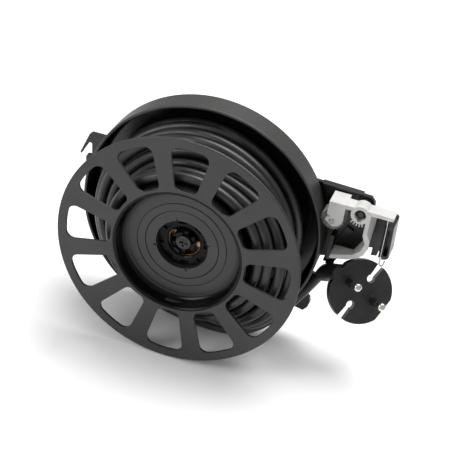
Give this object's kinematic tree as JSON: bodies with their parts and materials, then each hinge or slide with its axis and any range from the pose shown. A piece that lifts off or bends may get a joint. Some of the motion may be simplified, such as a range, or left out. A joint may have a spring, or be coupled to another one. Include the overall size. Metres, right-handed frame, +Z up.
{
  "type": "mains cord reel",
  "caption": "Spring-rewind mains cord reel module: open drum wound with black cord, slotted front flange, white brake lever with roller, and a two-pin plug on a short lead.",
  "frame": {"origin": "on the drum's axis, in the plane of the three mounting bosses' faces at the back", "axes": "+Y along the drum's axis towards the back, +X towards the brake, +Z up"},
  "size_m": [0.2043, 0.066, 0.1466],
  "materials": {
    "flange_plastic": "satin moulded black plastic",
    "drum_plastic": "semi-gloss moulded black plastic",
    "carrier_plastic": "satin moulded black plastic",
    "hub_black_plastic": "glossy black plastic",
    "hub_grey_plastic": "dark grey plastic, greasy",
    "lever_white_plastic": "natural white moulded plastic",
    "roller_rubber": "worn grey rubber",
    "roller_core_plastic": "grey plastic",
    "cord_sheath": "soft black PVC, slight sheen",
    "plug_rubber": "matt black PVC",
    "pin_sleeve_plastic": "glossy black",
    "nickel_plate": "bright nickel",
    "slip_ring_brass": "turned brass, tarnished",
    "bush_bronze": "sintered bronze",
    "spring_steel": "spring steel",
    "shaft_steel": "turned steel",
    "screw_steel": "zinc-plated steel"
  },
  "bodies": {
    "carrier": {"carrier_plate": "carrier_plastic", "brake_bracket": "carrier_plastic", "bracket_screws": "screw_steel", "outlet_guide": "carrier_plastic", "brake_spring": "spring_steel", "lever_pivot_pin": "shaft_steel", "axle": "shaft_steel", "spring_arbor": "shaft_steel", "contact_hub": "hub_grey_plastic", "contact_brushes": "slip_ring_brass", "hub_screw": "screw_steel", "contact_strips": "slip_ring_brass", "terminal_block": "hub_black_plastic", "blade_terminals": "nickel_plate", "cord_lead": "cord_sheath", "strain_relief": "plug_rubber", "plug_body": "plug_rubber", "plug_pins": "nickel_plate", "pin_sleeves": "pin_sleeve_plastic"},
    "drum": {"front_flange": "flange_plastic", "hub_cup": "flange_plastic", "spring_cover": "flange_plastic", "drum_core": "drum_plastic", "rear_flange": "drum_plastic", "drum_screws": "screw_steel", "front_bush": "bush_bronze", "rear_bush": "bush_bronze", "mainspring": "spring_steel", "slip_ring_carrier": "hub_black_plastic", "front_slip_ring": "slip_ring_brass", "rear_slip_ring": "slip_ring_brass", "cord_clamp": "hub_black_plastic", "clamp_screws": "screw_steel", "cord_winding": "cord_sheath"},
    "brake_lever": {"brake_lever": "lever_white_plastic", "roller_pin": "shaft_steel"},
    "brake_roller": {"roller_hub": "roller_core_plastic", "roller_tyre": "roller_rubber"}
  },
  "joints": [
    {"name": "drum_spin", "type": "hinge", "parent": "carrier", "child": "drum", "pos_m": [0, -0.035, 0], "axis": [0, 1, 0], "continuous": true},
    {"name": "lever_pivot", "type": "hinge", "parent": "carrier", "child": "brake_lever", "pos_m": [0.0919, -0.018, 0.0335], "axis": [0, -1, 0], "range_deg": [0, 12], "stiffness_Nm_per_rad": 0.05, "springref_deg": -17.19},
    {"name": "roller_spin", "type": "hinge", "parent": "brake_lever", "child": "brake_roller", "pos_m": [0.0765, -0.018, 0.0245], "axis": [0, 1, 0], "continuous": true}
  ]
}
